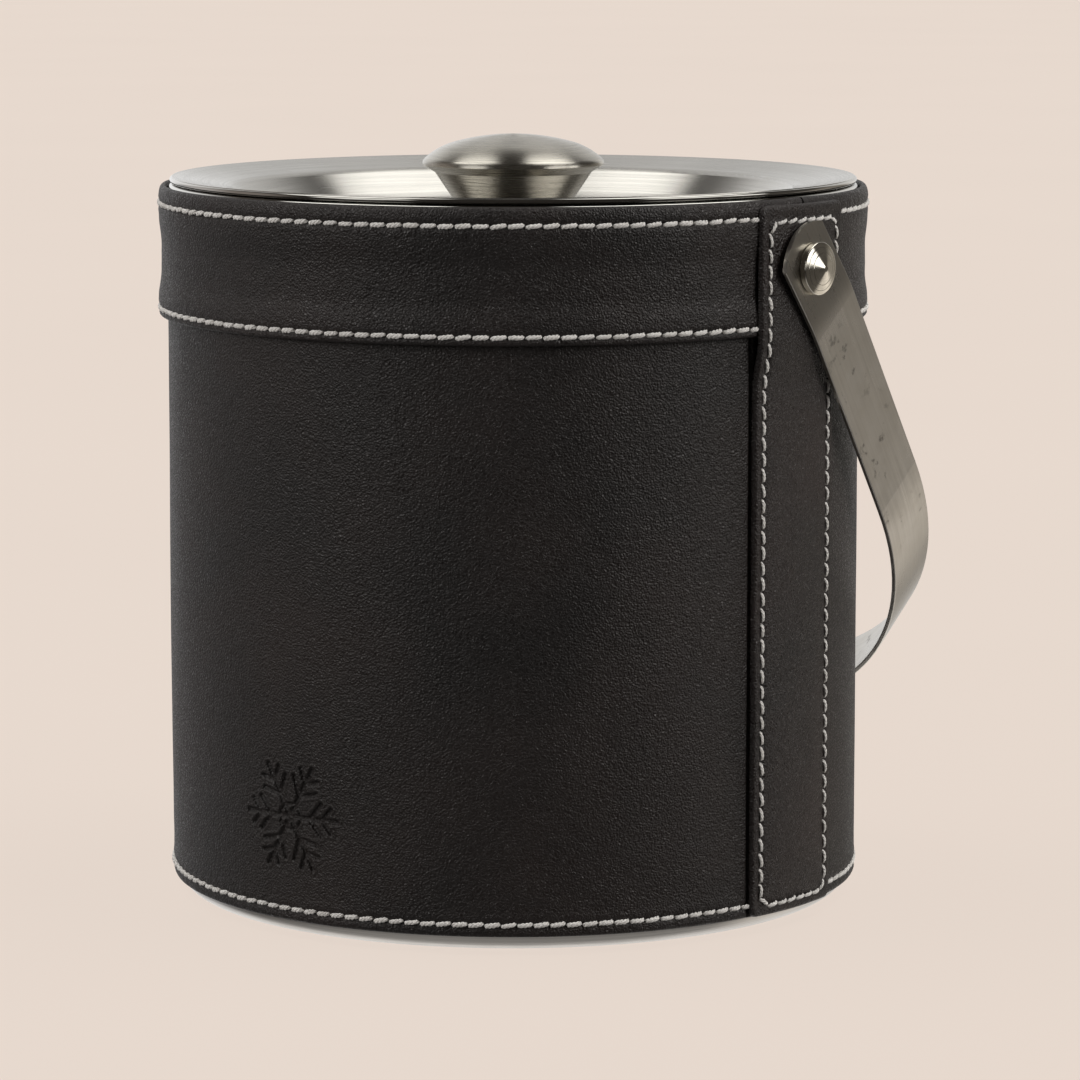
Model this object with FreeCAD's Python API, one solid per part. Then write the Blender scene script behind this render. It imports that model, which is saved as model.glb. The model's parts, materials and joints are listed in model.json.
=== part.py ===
"""Ice bucket: a double-walled steel pail in a stitched leather coat, with a lift-off dished lid and a strap bail.

Frame: millimetres, +Z up, origin at the centre of the underside, on the surface that the bucket stands on.
The bail's pivot axis runs along X. At rest the bail hangs behind the bucket (+Y) and leans on its back.
Bodies: the pail with its coat and studs stands still, the bail swings on the two studs, and the lid lifts off.
"""

import FreeCAD
import Part
import math
import os

from FreeCAD import Vector

# ---- driving dimensions -------------------------------------------------------------------------
BODY_R = 88.0            # outside of the leather body wrap
COLLAR_R = 90.0          # outside of the leather collar at its hems
COLLAR_WAIST = 0.5       # how far the collar draws in between its hems
PANEL_LEATHER = 1.35     # thickness of a strap panel
SKIN_GAP = 0.05          # glue line between two layers
COAT_FOOT_Z = 4.0        # lower edge of the leather
COLLAR_FOOT_Z = 147.2    # lower edge of the collar
COLLAR_TOP_Z = 180.1     # crest of the collar's rolled top edge
COLLAR_ROLL = 2.1        # radius of that rolled edge

STEEL = 0.8              # sheet thickness of every steel pressing
SHELL_R = 86.4           # outside of the steel outer wall
FOOT_ROUND = 5.4         # rounding of the outer wall into its foot
FOOT_LIP_R = 74.0        # inner edge of the foot's turned-in lip
SHELL_TOP_Z = 177.5
LINER_R = 79.0           # inside of the liner, the ice cavity's radius
LINER_FLOOR_Z = 12.0     # top of the liner's floor
LINER_CORNER = 9.0
BEAD_R = 87.5            # outermost reach of the liner's rolled bead
BEAD_ROD = 1.35          # radius of the bead's round section
BEAD_TOP_Z = 180.4

LID_R = 87.1             # edge of the lid
LID_TOP_Z = 182.1        # top of the lid's hemmed edge
LID_HEM = 1.5            # thickness of the hemmed edge
LID_DISH_Z = 170.2       # top of the dish's floor
DISH_TOP_R = 72.0        # where the lid's rim turns down into the dish
DISH_FLOOR_R = 62.2      # where the dish's wall meets its floor
LID_RIM_FALL = 2.6       # how far the rim falls from the lid's edge to the dish
KNOB_R = 23.1            # rim of the knob's cap
KNOB_RIM_Z = 184.9       # where the cap's rim stands upright
KNOB_RIM_ROUND = 1.9
KNOB_SHOULDER_R = 15.0   # where the flatter crown turns into the rounder shoulder
KNOB_CROWN_ROUND = 57.0  # radius of the crown's arc
KNOB_TOP_Z = 192.4
KNOB_NECK_R = 20.5       # top of the knob's cone, just under its cap
KNOB_NECK_Z = 183.1
KNOB_FOOT_R = 12.2

PIVOT_Z = 163.1          # height of the bail's pivot axis
HANG_DEG = 38.2          # lean of the bail from straight down, where it rests behind the body
STRAP_WIDTH = 19.2
STRAP_THICK = 1.2
STRAP_OUT_X = 93.3       # outer face of the strap at the pivots
PANEL_WIDTH_DEG = 21.4   # arc that each strap panel covers
SEWN_INSET_DEG = 2.0     # stitch line to panel edge, as an arc
THREAD_R = 0.42          # radius of the sewing thread
THREAD_SEAT = 0.12       # extra room round a thread in its groove

# ---- worked out from them -----------------------------------------------------------------------
WRAP_IN_R = SHELL_R + SKIN_GAP
COLLAR_IN_R = BODY_R + SKIN_GAP
PANEL_LOW_R = BODY_R + SKIN_GAP
PANEL_HIGH_R = COLLAR_R + SKIN_GAP
PANEL_LOW_OUT_R = PANEL_LOW_R + PANEL_LEATHER
PANEL_HIGH_OUT_R = PANEL_HIGH_R + PANEL_LEATHER
PANEL_TOP_Z = COLLAR_TOP_Z - 1.3
STEP_LOW_Z = COLLAR_FOOT_Z - 3.6     # where a panel starts to climb over the collar's edge
STEP_HIGH_Z = COLLAR_FOOT_Z - 0.2
LINER_OUT_R = LINER_R + STEEL
SHELL_IN_R = SHELL_R - STEEL
STRAP_IN_X = STRAP_OUT_X - STRAP_THICK
HALF_PANEL = PANEL_WIDTH_DEG / 2
SEWN_HALF = HALF_PANEL - SEWN_INSET_DEG
COLLAR_TOP_STITCH_Z = 175.6
COLLAR_FOOT_STITCH_Z = 149.3
BODY_STITCH_Z = 7.0
PANEL_TOP_STITCH_Z = 174.8
PANEL_FOOT_STITCH_Z = 6.6

SEAM_GAP_DEG = 0.2       # half of the slit between two leather halves, under the panels
STUD_SHANK_R = 1.95      # M4
STUD_SHOULDER_R = 2.5
STUD_HEAD_R = 6.45
STUD_FLANGE = 1.7
STUD_CONE = 1.65
STUD_TIP_R = 0.7
STUD_RINGS = (5.3, 3.9)          # radii of the fine turned rings on the cone
STUD_RING_DEPTH = 0.03
PIVOT_PLAY = 0.05        # radial play of the strap on a stud's shoulder
SIDES = {"right": 1, "left": -1}

OUT = "parts"


# ---- profile tools ------------------------------------------------------------------------------
def profile_point(radius, z):
    """A point of a turned profile, in the XZ plane."""
    return Vector(radius, 0, z)


def rounded_edges(points, radii):
    """Edges of an open path through points, with a tangent arc of its own radius at each inner point."""
    edges = []
    start = points[0]
    for before, corner, after, radius in zip(points, points[1:], points[2:], radii):
        into = (corner - before).normalize()
        away = (after - corner).normalize()
        turn = into.getAngle(away)
        if radius < 1e-6 or turn < 1e-4:
            if (corner - start).Length > 1e-5:
                edges.append(Part.LineSegment(start, corner).toShape())
            start = corner
            continue
        reach = radius * math.tan(turn / 2)
        first = corner - into * reach
        last = corner + away * reach
        inward = (away - into).normalize()
        middle = corner + inward * (radius / math.cos(turn / 2) - radius)
        if (first - start).Length > 1e-5:
            edges.append(Part.LineSegment(start, first).toShape())
        edges.append(Part.Arc(first, middle, last).toShape())
        start = last
    if (points[-1] - start).Length > 1e-5:
        edges.append(Part.LineSegment(start, points[-1]).toShape())
    return edges


def offset_points(points, distance, normal):
    """The path's corners moved sideways by distance, to the left as seen along -normal."""
    sides = [normal.cross(b - a).normalize() * distance for a, b in zip(points, points[1:])]
    moved = [points[0] + sides[0]]
    for corner, side_a, side_b in zip(points[1:-1], sides, sides[1:]):
        both = side_a + side_b
        moved.append(corner + both * (2 * distance * distance / both.dot(both)))
    moved.append(points[-1] + sides[-1])
    return moved


def sheet_face(points, radii, thickness, normal):
    """A strip of sheet metal seen on edge: the path and its offset, closed by two square ends."""
    far = offset_points(points, thickness, normal)
    far_radii = []
    for before, corner, after, radius in zip(points, points[1:], points[2:], radii):
        left_turn = (corner - before).cross(after - corner).dot(normal) > 0
        far_radii.append(max(0.0, radius - thickness) if left_turn else radius + thickness)
    near_edges = rounded_edges(points, radii)
    far_edges = rounded_edges(far, far_radii)
    ends = [Part.LineSegment(points[0], far[0]).toShape(), Part.LineSegment(points[-1], far[-1]).toShape()]
    return Part.Face(Part.Wire(Part.__sortEdges__(near_edges + far_edges + ends)))


def closed_face(points, radii):
    """A closed outline with its own rounding at each corner. radii[0] has to be 0: the path starts there."""
    loop = list(points) + [points[0]]
    return Part.Face(Part.Wire(rounded_edges(loop, list(radii[1:]))))


def turned(face, start_deg=0.0, sweep_deg=360.0):
    """The face turned about Z."""
    placed = face.copy()
    placed.rotate(Vector(0, 0, 0), Vector(0, 0, 1), start_deg)
    return placed.revolve(Vector(0, 0, 0), Vector(0, 0, 1), sweep_deg)


def turned_sheet(corners, radii, thickness):
    """A turned pressing from its (radius, z) corners. The thickness goes to the path's left in the XZ plane."""
    points = [profile_point(r, z) for r, z in corners]
    return turned(sheet_face(points, radii, thickness, Vector(0, -1, 0)))


def turned_outline(corners, radii=None, start_deg=0.0, sweep_deg=360.0):
    """A turned solid from its closed (radius, z) outline."""
    points = [profile_point(r, z) for r, z in corners]
    return turned(closed_face(points, radii or [0.0] * len(points)), start_deg, sweep_deg)


def rod_x(radius, x_from, x_to, y=0.0, z=PIVOT_Z):
    """A round rod along X."""
    return Part.makeCylinder(radius, x_to - x_from, Vector(x_from, y, z), Vector(1, 0, 0))


def mirrored(shape, side):
    """The part made for +X, or its mirror image for -X."""
    if side > 0:
        return shape
    return shape.mirror(Vector(0, 0, 0), Vector(1, 0, 0))


def both_sides(shape):
    """The shape and its mirror image across X, as a cutting tool."""
    return Part.makeCompound([shape, mirrored(shape, -1)])


# ---- the steel pail -----------------------------------------------------------------------------
def make_outer_shell():
    """Drawn outer wall, open at the top, with a rounded foot and a turned-in lip."""
    corners = [(FOOT_LIP_R, 0), (SHELL_R, 0), (SHELL_R, SHELL_TOP_Z)]
    shell = turned_sheet(corners, [FOOT_ROUND], STEEL)
    return shell.cut(both_sides(rod_x(STUD_SHANK_R + 0.1, SHELL_IN_R - 3, SHELL_R + 3)))


def make_base_plate():
    """Disc welded inside the foot's lip, with a shallow stiffening step."""
    lip_top = STEEL + SKIN_GAP
    corners = [(80.0, lip_top), (66.0, lip_top), (62.0, lip_top + 2.4), (0.0, lip_top + 2.4)]
    points = [profile_point(r, z) for r, z in corners]
    face = sheet_face(points, [3.0, 3.0], STEEL, Vector(0, 1, 0))
    return turned(face)


def make_liner():
    """Drawn inner pail with a rounded floor corner, a flat flange and a rolled bead at its edge."""
    flange_z = BEAD_TOP_Z - BEAD_ROD
    bead_centre_r = BEAD_R - BEAD_ROD
    corners = [(0, LINER_FLOOR_Z), (LINER_R, LINER_FLOOR_Z), (LINER_R, flange_z), (bead_centre_r, flange_z)]
    points = [profile_point(r, z) for r, z in corners]
    pail = turned(sheet_face(points, [LINER_CORNER, 1.6], STEEL, Vector(0, 1, 0)))
    bead = Part.makeTorus(bead_centre_r, BEAD_ROD, Vector(0, 0, flange_z))
    return pail.fuse(bead).removeSplitter()


def make_foam_sleeve():
    """Insulation between the walls, with a pocket for each stud's nut."""
    ring = turned_outline(
        [(LINER_OUT_R + 0.2, 22), (SHELL_IN_R - 0.2, 22), (SHELL_IN_R - 0.2, 175), (LINER_OUT_R + 0.2, 175)]
    )
    return ring.cut(both_sides(rod_x(6.5, LINER_R - 2, SHELL_R + 2)))


def make_foam_disc():
    """Insulation under the liner's floor."""
    return turned_outline([(0, 4.6), (61.0, 4.6), (66.0, 2.2), (77.0, 2.2), (77.0, 10.8), (0, 10.8)])


# ---- the leather coat ---------------------------------------------------------------------------
def ring_groove(radius, z, start_deg, sweep_deg, section_r):
    """Part of a ring of round section: a thread's groove, or the thread."""
    disc = Part.Face(Part.Wire(Part.makeCircle(section_r, profile_point(radius, z), Vector(0, 1, 0))))
    return turned(disc, start_deg, sweep_deg)


def half_span(side, margin_deg):
    """Start angle and sweep of the front (-1) or back (+1) half, ending margin_deg short of each panel's centre."""
    start = margin_deg if side > 0 else 180 + margin_deg
    return start, 180 - 2 * margin_deg


def make_wrap_half(side):
    """Half of the body wrap. Its two seams lie under the strap panels."""
    start, sweep = half_span(side, SEAM_GAP_DEG)
    corners = [(WRAP_IN_R, COAT_FOOT_Z), (BODY_R, COAT_FOOT_Z), (BODY_R, SHELL_TOP_Z), (WRAP_IN_R, SHELL_TOP_Z)]
    half = turned_outline(corners, [0.0, 0.5, 0.0, 0.0], start, sweep)
    groove = ring_groove(BODY_R, BODY_STITCH_Z, start, sweep, THREAD_R + THREAD_SEAT)
    return half.cut(groove).cut(both_sides(rod_x(2.2, WRAP_IN_R - 3, BODY_R + 3)))


def make_collar_half(side):
    """Half of the collar: hemmed at its foot, drawn in at its waist and rolled over at the top."""
    start, sweep = half_span(side, SEAM_GAP_DEG)
    inner_top_r = BEAD_R + 0.3
    waist_r = COLLAR_R - COLLAR_WAIST
    corners = [
        (COLLAR_IN_R, COLLAR_FOOT_Z),
        (COLLAR_R, COLLAR_FOOT_Z),
        (COLLAR_R, COLLAR_FOOT_STITCH_Z + 1.5),
        (waist_r, COLLAR_FOOT_STITCH_Z + 6),
        (waist_r, COLLAR_TOP_STITCH_Z - 8),
        (COLLAR_R, COLLAR_TOP_STITCH_Z - 1.5),
        (COLLAR_R, COLLAR_TOP_Z),
        (inner_top_r, COLLAR_TOP_Z),
        (inner_top_r, SHELL_TOP_Z + 0.4),
        (COLLAR_IN_R, SHELL_TOP_Z + 0.4),
    ]
    radii = [0.0, 0.8, 8.0, 8.0, 12.0, 12.0, COLLAR_ROLL, 0.0, 0.0, 0.0]
    half = turned_outline(corners, radii, start, sweep)
    for z in (COLLAR_TOP_STITCH_Z, COLLAR_FOOT_STITCH_Z):
        half = half.cut(ring_groove(COLLAR_R, z, start, sweep, THREAD_R + THREAD_SEAT))
    return half.cut(both_sides(rod_x(2.2, COLLAR_IN_R - 3, COLLAR_R + 3)))


def panel_sides():
    """The (radius, z) path up a panel's inner face: low on the body wrap, then over the collar."""
    return [(PANEL_LOW_R, COAT_FOOT_Z), (PANEL_LOW_R, STEP_LOW_Z), (PANEL_HIGH_R, STEP_HIGH_Z),
            (PANEL_HIGH_R, PANEL_TOP_Z)]


def make_panel():
    """The right strap panel: a leather strip over the seams, from the coat's foot to its top."""
    points = [profile_point(r, z) for r, z in panel_sides()]
    strip = turned(sheet_face(points, [2.0, 3.5], PANEL_LEATHER, Vector(0, 1, 0)), -HALF_PANEL, PANEL_WIDTH_DEG)
    strip = strip.cut(panel_thread(THREAD_R + THREAD_SEAT, True))
    return strip.cut(rod_x(2.2, PANEL_LOW_R - 3, PANEL_HIGH_OUT_R + 3))


def thread_run(points, radius):
    """A thread through points, its joints rounded: one solid."""
    run = None
    for a, b in zip(points, points[1:]):
        rod = Part.makeCylinder(radius, (b - a).Length, a, b - a)
        run = rod if run is None else run.fuse(rod)
    for corner in points[1:-1]:
        run = run.fuse(Part.makeSphere(radius, corner))
    return run.removeSplitter()


def panel_thread(radius, whole):
    """The box of stitching round the right panel: two upright runs and two arcs, apart at the corners unless whole."""
    spare = 0.0 if whole else 0.8
    runs = []
    for angle_deg in (-SEWN_HALF, SEWN_HALF):
        angle = math.radians(angle_deg)
        route = [
            (PANEL_LOW_OUT_R, PANEL_FOOT_STITCH_Z + spare),
            (PANEL_LOW_OUT_R, STEP_LOW_Z),
            (PANEL_HIGH_OUT_R, STEP_HIGH_Z),
            (PANEL_HIGH_OUT_R, PANEL_TOP_STITCH_Z - spare),
        ]
        runs.append(thread_run([Vector(r * math.cos(angle), r * math.sin(angle), z) for r, z in route], radius))
    for ring_r, z in ((PANEL_LOW_OUT_R, PANEL_FOOT_STITCH_Z), (PANEL_HIGH_OUT_R, PANEL_TOP_STITCH_Z)):
        runs.append(ring_groove(ring_r, z, -SEWN_HALF, 2 * SEWN_HALF, radius))
    return Part.makeCompound(runs)


def make_ring_thread(radius, z):
    """A sewn ring in two arcs, front and back, each ending short of the panels."""
    arcs = []
    for side in (-1, 1):
        start, sweep = half_span(side, HALF_PANEL + 0.4)
        arcs.append(ring_groove(radius, z, start, sweep, THREAD_R))
    return Part.makeCompound(arcs)


# ---- the pivots ---------------------------------------------------------------------------------
def make_stud():
    """Right pivot stud: a turned cone head on a flange, a shoulder that the strap turns on, and an M4 shank."""
    head_x = STRAP_OUT_X + 0.15
    shoulder_x = PANEL_HIGH_OUT_R + 0.2
    tip_x = SHELL_IN_R - 4.9
    cone_slope = STUD_CONE / (STUD_HEAD_R - STUD_TIP_R)

    def cone_x(radius):
        return head_x + STUD_FLANGE + (STUD_HEAD_R - radius) * cone_slope

    rings = []
    for ring in STUD_RINGS:
        rings.append((ring + 0.15, cone_x(ring + 0.15)))
        rings.append((ring, cone_x(ring) - STUD_RING_DEPTH))
        rings.append((ring - 0.15, cone_x(ring - 0.15)))
    outline = [
        (0, tip_x),
        (STUD_SHANK_R, tip_x),
        (STUD_SHANK_R, shoulder_x),
        (STUD_SHOULDER_R, shoulder_x),
        (STUD_SHOULDER_R, head_x),
        (STUD_HEAD_R, head_x),
        (STUD_HEAD_R, head_x + STUD_FLANGE),
        *rings,
        (STUD_TIP_R, cone_x(STUD_TIP_R)),
        (0, cone_x(STUD_TIP_R)),
    ]
    radii = [0.0, 0.0, 0.0, 0.0, 0.0, 0.25, 0.3, *[0.0] * len(rings), 0.4, 0.0]
    stud = turned_outline(outline, radii)
    stud.rotate(Vector(0, 0, 0), Vector(0, 1, 0), 90)
    stud.translate(Vector(0, 0, PIVOT_Z))
    return stud


def make_spacer():
    """Thin plastic washer between the right panel and the strap."""
    x_from = PANEL_HIGH_OUT_R + 0.05
    x_to = STRAP_IN_X - 0.1
    return rod_x(6.2, x_from, x_to).cut(rod_x(STUD_SHOULDER_R + PIVOT_PLAY, x_from - 1, x_to + 1))


def make_backing_washer():
    """Steel washer that spreads the stud's pull inside the outer wall."""
    x_to = SHELL_IN_R - 0.2
    return rod_x(5.0, x_to - 0.8, x_to).cut(rod_x(STUD_SHANK_R + 0.1, x_to - 2, x_to + 1))


def make_nut():
    """M4 nut on the stud, between the walls."""
    x_to = SHELL_IN_R - 1.05
    thickness = 3.2
    corner_r = 7.0 / math.sqrt(3)
    corners = []
    for k in range(7):
        angle = math.radians(60 * k)
        corners.append(Vector(x_to - thickness, corner_r * math.cos(angle), PIVOT_Z + corner_r * math.sin(angle)))
    prism = Part.Face(Part.makePolygon(corners)).extrude(Vector(thickness, 0, 0))
    return prism.cut(rod_x(STUD_SHANK_R + 0.03, x_to - 5, x_to + 1))


# ---- the bail -----------------------------------------------------------------------------------
def make_bail():
    """Flat strap bent into a bail: parallel ends, sides that lean in, and a grip of two arc sizes."""
    parallel_to = 13.0       # the ends run parallel this far past the pivots
    lean_deg = 5.3           # inward lean of the sides
    side_round = 92.0        # outside radius of each shoulder
    shoulder_deg = 50.5      # direction in which the shoulder's arc ends
    depth = 156.8            # pivot axis to the outside of the grip
    end_reach = 11.2         # pivot axis to the strap's rounded tip
    corner_reach = 6.8       # pivot axis to the corners at the ends' arcs
    end_round = 12.6         # radius of those arcs
    edge_round = 0.28

    # The grip's arc runs from the shoulder's end to the middle. Its radius follows from depth.
    slope = math.radians(shoulder_deg)
    lean = math.radians(lean_deg)
    bend = (STRAP_OUT_X, parallel_to)

    def corner_for(grip_u):
        """The two outer corners of the half outline, given the grip corner's distance from the middle."""
        # shoulder corner: where the leaning side meets the line that falls from the grip corner at slope
        du, dv = math.sin(slope), -math.cos(slope)
        su, sv = -math.sin(lean), math.cos(lean)
        span_u, span_v = grip_u - bend[0], depth - bend[1]
        along = (span_u * dv - span_v * du) / (su * dv - sv * du)
        return bend[0] + su * along, bend[1] + sv * along

    def misfit(grip_u):
        """How much longer the line between the two corners is than the two arcs need."""
        corner = corner_for(grip_u)
        run = math.hypot(grip_u - corner[0], depth - corner[1])
        return run - side_round * math.tan((slope + lean) / 2 - lean) - grip_u

    low, high = 20.0, 60.0
    for _ in range(60):
        middle = (low + high) / 2
        if misfit(middle) > 0:
            low = middle
        else:
            high = middle
    grip_u = low
    shoulder = corner_for(grip_u)
    grip_round = grip_u / math.tan((math.pi / 2 - slope) / 2)

    half = [(STRAP_OUT_X, -end_reach), bend, shoulder, (grip_u, depth)]
    whole = half + [(-u, v) for u, v in reversed(half)]
    points = [Vector(u, 0, -v) for u, v in whole]
    rounds = [60.0, side_round, grip_round, grip_round, side_round, 60.0]
    strip = sheet_face(points, rounds, STRAP_THICK, Vector(0, 1, 0))
    strip.translate(Vector(0, -STRAP_WIDTH / 2, 0))
    strap = strip.extrude(Vector(0, STRAP_WIDTH, 0))

    long_edges = [e for e in strap.Edges if abs(abs(e.CenterOfMass.y) - STRAP_WIDTH / 2) < 1e-4 and e.Length > 3]
    strap = strap.makeFillet(edge_round, long_edges)
    block = Part.makeBox(240, 40, 20, Vector(-120, -20, 0))
    arc = Part.makeCylinder(end_round, 240, Vector(-120, 0, end_reach - end_round), Vector(1, 0, 0))
    strap = strap.cut(block.cut(arc).cut(Part.makeBox(260, 60, corner_reach, Vector(-130, -30, 0))))
    hole = Part.makeCylinder(STUD_SHOULDER_R + PIVOT_PLAY, 240, Vector(-120, 0, 0), Vector(1, 0, 0))
    strap = strap.cut(hole)
    strap.rotate(Vector(0, 0, 0), Vector(1, 0, 0), HANG_DEG)
    strap.translate(Vector(0, 0, PIVOT_Z))
    return strap


# ---- the lid ------------------------------------------------------------------------------------
SCREW_R = 2.4
DISH_UNDER_Z = LID_DISH_Z - STEEL


def make_lid_pan():
    """Dished steel lid: a gently falling rim, a sloping wall down to a flat floor, and an edge folded under itself."""
    rim_z = LID_TOP_Z
    corners = [
        (LID_R - 0.6, rim_z),
        (DISH_TOP_R, rim_z - LID_RIM_FALL),
        (DISH_FLOOR_R, LID_DISH_Z),
        (0.0, LID_DISH_Z),
    ]
    points = [profile_point(r, z) for r, z in corners]
    pan = turned(sheet_face(points, [4.0, 12.0], STEEL, Vector(0, -1, 0)))
    hem_fall = 3.2 * LID_RIM_FALL / (LID_R - DISH_TOP_R)
    hem = turned_outline(
        [(LID_R - 3.2, rim_z - hem_fall - 0.2), (LID_R, rim_z), (LID_R, rim_z - LID_HEM), (LID_R - 3.2, rim_z - LID_HEM)],
        [0.0, 0.6, 0.6, 0.3],
    )
    pan = pan.fuse(hem).removeSplitter()
    return pan.cut(Part.makeCylinder(SCREW_R + 0.2, 8, Vector(0, 0, DISH_UNDER_Z - 4)))


def make_knob():
    """Turned knob: a shallow dome over a cone, with a blind tapped hole from below."""
    foot_z = LID_DISH_Z + 0.02
    rim_r = KNOB_R - KNOB_RIM_ROUND
    crown_centre_z = KNOB_TOP_Z - KNOB_CROWN_ROUND
    shoulder_angle = math.acos(KNOB_SHOULDER_R / KNOB_CROWN_ROUND)
    # The shoulder's arc is tangent to the crown's arc and to the rim's, so its centre is on the crown's radius.
    along_x, along_z = math.cos(shoulder_angle), math.sin(shoulder_angle)
    gap_x, gap_z = rim_r, KNOB_RIM_Z - crown_centre_z
    spare = KNOB_CROWN_ROUND - KNOB_RIM_ROUND
    inward = (spare ** 2 - gap_x ** 2 - gap_z ** 2) / (2 * (spare - gap_x * along_x - gap_z * along_z))
    shoulder_r = KNOB_CROWN_ROUND - inward
    centre_r, centre_z = inward * along_x, crown_centre_z + inward * along_z
    meet = math.atan2(KNOB_RIM_Z - centre_z, rim_r - centre_r)

    def on_crown(angle):
        return profile_point(KNOB_CROWN_ROUND * math.cos(angle), crown_centre_z + KNOB_CROWN_ROUND * math.sin(angle))

    def on_shoulder(angle):
        return profile_point(centre_r + shoulder_r * math.cos(angle), centre_z + shoulder_r * math.sin(angle))

    def on_rim(angle):
        return profile_point(rim_r + KNOB_RIM_ROUND * math.cos(angle), KNOB_RIM_Z + KNOB_RIM_ROUND * math.sin(angle))

    tap_r = SCREW_R + 0.03
    tap_top = foot_z + 9.5
    lower = rounded_edges(
        [
            profile_point(0, tap_top),
            profile_point(tap_r, tap_top),
            profile_point(tap_r, foot_z),
            profile_point(KNOB_FOOT_R + 0.6, foot_z),
            profile_point(KNOB_FOOT_R + 0.6, foot_z + 0.8),
            profile_point(KNOB_FOOT_R, foot_z + 1.2),
            profile_point(KNOB_NECK_R - 0.5, KNOB_NECK_Z - 0.25),
            profile_point(KNOB_NECK_R + 0.1, KNOB_NECK_Z + 0.1),
            profile_point(KNOB_R, KNOB_RIM_Z - 0.12),
            profile_point(KNOB_R, KNOB_RIM_Z),
        ],
        [0, 0, 0, 0.2, 0.3, 0, 0.1, 0],
    )
    rim = Part.Arc(on_rim(0), on_rim(meet / 2), on_rim(meet)).toShape()
    shoulder = Part.Arc(on_shoulder(meet), on_shoulder((meet + shoulder_angle) / 2), on_shoulder(shoulder_angle)).toShape()
    crown = Part.Arc(on_crown(shoulder_angle), on_crown((shoulder_angle + math.pi / 2) / 2), on_crown(math.pi / 2))
    axis = Part.LineSegment(profile_point(0, KNOB_TOP_Z), profile_point(0, tap_top)).toShape()
    return turned(Part.Face(Part.Wire(lower + [rim, shoulder, crown.toShape(), axis])))


def make_knob_washer():
    """Flat washer under the lid's floor."""
    top = DISH_UNDER_Z - 0.02
    return turned_outline([(SCREW_R + 0.2, top - 1.0), (6.0, top - 1.0), (6.0, top), (SCREW_R + 0.2, top)])


def make_knob_screw():
    """Pan-head machine screw that holds the knob, with a cross recess."""
    head_top = DISH_UNDER_Z - 1.04
    head_low = head_top - 2.6
    screw = turned_outline(
        [(0, head_low), (4.6, head_low), (4.6, head_top), (SCREW_R, head_top), (SCREW_R, head_top + 10.0),
         (0, head_top + 10.0)],
        [0.0, 1.6, 0.0, 0.0, 0.4, 0.0],
    )
    for angle in (0, 90):
        slot = Part.makeBox(4.4, 0.9, 1.3, Vector(-2.2, -0.45, head_low - 0.1))
        slot.rotate(Vector(0, 0, 0), Vector(0, 0, 1), angle)
        screw = screw.cut(slot)
    return screw


# ---- assembly -----------------------------------------------------------------------------------
def all_parts():
    """Every sub-part by its node name."""
    parts = {
        "outer_shell": make_outer_shell(),
        "base_plate": make_base_plate(),
        "liner_pail": make_liner(),
        "foam_sleeve": make_foam_sleeve(),
        "foam_disc": make_foam_disc(),
        "body_wrap_front": make_wrap_half(-1),
        "body_wrap_back": make_wrap_half(1),
        "collar_front": make_collar_half(-1),
        "collar_back": make_collar_half(1),
        "collar_top_thread": make_ring_thread(COLLAR_R, COLLAR_TOP_STITCH_Z),
        "collar_foot_thread": make_ring_thread(COLLAR_R, COLLAR_FOOT_STITCH_Z),
        "body_hem_thread": make_ring_thread(BODY_R, BODY_STITCH_Z),
        "bail_strap": make_bail(),
        "lid_pan": make_lid_pan(),
        "lid_knob": make_knob(),
        "lid_knob_washer": make_knob_washer(),
        "lid_knob_screw": make_knob_screw(),
    }
    sided = {
        "strap_panel": make_panel(),
        "strap_panel_thread": panel_thread(THREAD_R, False),
        "pivot_stud": make_stud(),
        "pivot_spacer": make_spacer(),
        "pivot_backing_washer": make_backing_washer(),
        "pivot_nut": make_nut(),
    }
    for name, shape in sided.items():
        for word, side in SIDES.items():
            parts[f"{name}_{word}"] = mirrored(shape, side)
    return parts


def main():
    os.makedirs(OUT, exist_ok=True)
    for name, shape in all_parts().items():
        box = shape.BoundBox
        print(f"{name:26s} solids {len(shape.Solids)} valid {shape.isValid()} volume {shape.Volume:10.1f} "
              f"z {box.ZMin:.2f} to {box.ZMax:.2f}")
        shape.exportStep(os.path.join(OUT, f"{name}.step"))


main()
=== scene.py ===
import json
import math
import random

import bpy
import numpy as np
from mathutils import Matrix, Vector


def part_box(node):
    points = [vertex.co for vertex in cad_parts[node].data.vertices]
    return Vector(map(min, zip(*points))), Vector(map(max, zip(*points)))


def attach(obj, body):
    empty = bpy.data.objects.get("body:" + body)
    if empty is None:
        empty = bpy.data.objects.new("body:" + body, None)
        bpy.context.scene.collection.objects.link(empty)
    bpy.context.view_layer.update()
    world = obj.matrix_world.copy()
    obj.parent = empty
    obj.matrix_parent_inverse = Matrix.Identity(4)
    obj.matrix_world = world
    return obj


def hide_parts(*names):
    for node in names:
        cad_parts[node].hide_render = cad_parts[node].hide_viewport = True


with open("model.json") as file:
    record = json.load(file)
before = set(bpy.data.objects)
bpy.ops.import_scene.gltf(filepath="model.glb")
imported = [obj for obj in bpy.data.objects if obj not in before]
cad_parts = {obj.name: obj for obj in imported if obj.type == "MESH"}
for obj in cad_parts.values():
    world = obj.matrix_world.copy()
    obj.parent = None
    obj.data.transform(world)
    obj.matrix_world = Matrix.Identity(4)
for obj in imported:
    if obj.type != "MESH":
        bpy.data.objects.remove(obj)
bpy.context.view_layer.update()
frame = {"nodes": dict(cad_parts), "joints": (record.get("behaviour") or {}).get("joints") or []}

MM = 0.001
TAU = 2 * math.pi


# ---- places and sizes, all from the frame ---------------------------------------------------------
def low_high(node):
    low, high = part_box(node)
    return [c / MM for c in low], [c / MM for c in high]


def joint(name):
    return next(j for j in frame["joints"] if j["name"] == name)


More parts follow.
